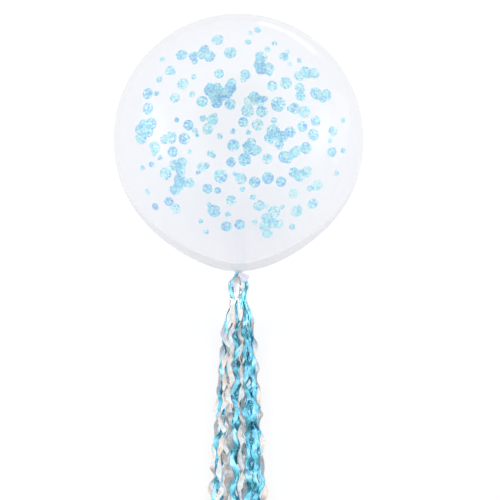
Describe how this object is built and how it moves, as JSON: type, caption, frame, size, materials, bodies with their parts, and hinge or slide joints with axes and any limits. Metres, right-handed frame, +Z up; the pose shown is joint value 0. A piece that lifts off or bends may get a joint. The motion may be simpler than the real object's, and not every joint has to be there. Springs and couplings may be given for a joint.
{
  "type": "giant confetti balloon",
  "caption": "Giant clear round balloon filled with light blue paper confetti, with a long tassel of twisted blue and pearl film streamers tied to its neck.",
  "frame": {"origin": "middle of the flat spot that the balloon rests on, at floor height", "axes": "+Z up; the neck points down towards -Y and the tassel lies along -Y; +X to the right seen from the tassel's end"},
  "size_m": [0.914, 1.9434, 0.9122],
  "materials": {
    "clear_latex": "clear, faintly milky, glossy",
    "blue_film": "metallised sky blue film",
    "pearl_film": "iridescent pearl white film"
  },
  "bodies": {
    "root": {"balloon": "clear_latex", "tassel_tie": "blue_film", "blue_streamer_1": "blue_film", "blue_streamer_2": "blue_film", "blue_streamer_3": "blue_film", "blue_streamer_4": "blue_film", "blue_streamer_5": "blue_film", "blue_streamer_6": "blue_film", "blue_streamer_7": "blue_film", "blue_streamer_8": "blue_film", "blue_streamer_9": "blue_film", "blue_streamer_10": "blue_film", "blue_streamer_11": "blue_film", "pearl_streamer_1": "pearl_film", "pearl_streamer_2": "pearl_film", "pearl_streamer_3": "pearl_film", "pearl_streamer_4": "pearl_film", "pearl_streamer_5": "pearl_film", "pearl_streamer_6": "pearl_film", "pearl_streamer_7": "pearl_film", "pearl_streamer_8": "pearl_film", "pearl_streamer_9": "pearl_film", "pearl_streamer_10": "pearl_film"}
  },
  "joints": []
}
